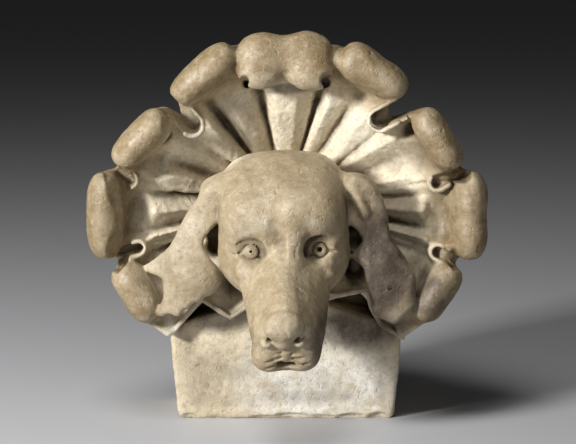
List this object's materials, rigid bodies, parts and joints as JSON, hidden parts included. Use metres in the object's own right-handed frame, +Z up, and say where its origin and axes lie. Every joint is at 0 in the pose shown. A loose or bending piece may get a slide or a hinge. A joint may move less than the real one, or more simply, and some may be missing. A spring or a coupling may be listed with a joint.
{
  "type": "limestone corbel",
  "caption": "Carved limestone corbel: a hound's head in a ruff of curled leaves above a plain block, cut flat behind to sit against a wall.",
  "frame": {"origin": "on the flat back, at the middle of the ruff of leaves", "axes": "+Z up, +Y into the wall, so the head looks along -Y; +X to the viewer's right"},
  "size_m": [0.4738, 0.3028, 0.4709],
  "materials": {
    "limestone": "rubbed, worn limestone, warm buff with brown soot in the hollows"
  },
  "bodies": {
    "root": {"hound_corbel": "limestone"}
  },
  "joints": []
}
